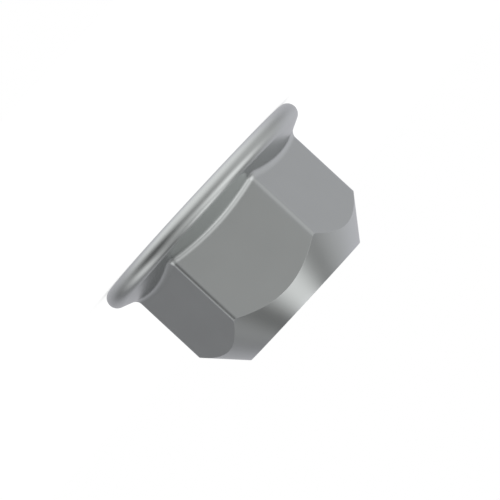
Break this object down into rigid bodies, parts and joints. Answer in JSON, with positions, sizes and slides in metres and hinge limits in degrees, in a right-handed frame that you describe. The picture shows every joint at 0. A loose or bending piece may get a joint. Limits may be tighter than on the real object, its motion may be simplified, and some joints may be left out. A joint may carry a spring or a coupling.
{
  "type": "hex flange nut",
  "caption": "Hex nut with rounded corners and a coned crown on a wide sloping flange with a rounded rim, tapped right through for a metric bolt or stud.",
  "frame": {"origin": "centre of the bearing face, on the axis of the thread", "axes": "+Z along the axis of the thread, from the flange to the crown; +X through a corner of the hexagon"},
  "size_m": [0.0178, 0.0178, 0.0099],
  "materials": {
    "zinc_plated_steel": "satin, bright zinc plate on cold-forged steel"
  },
  "bodies": {
    "root": {"flange_nut": "zinc_plated_steel"}
  },
  "joints": []
}
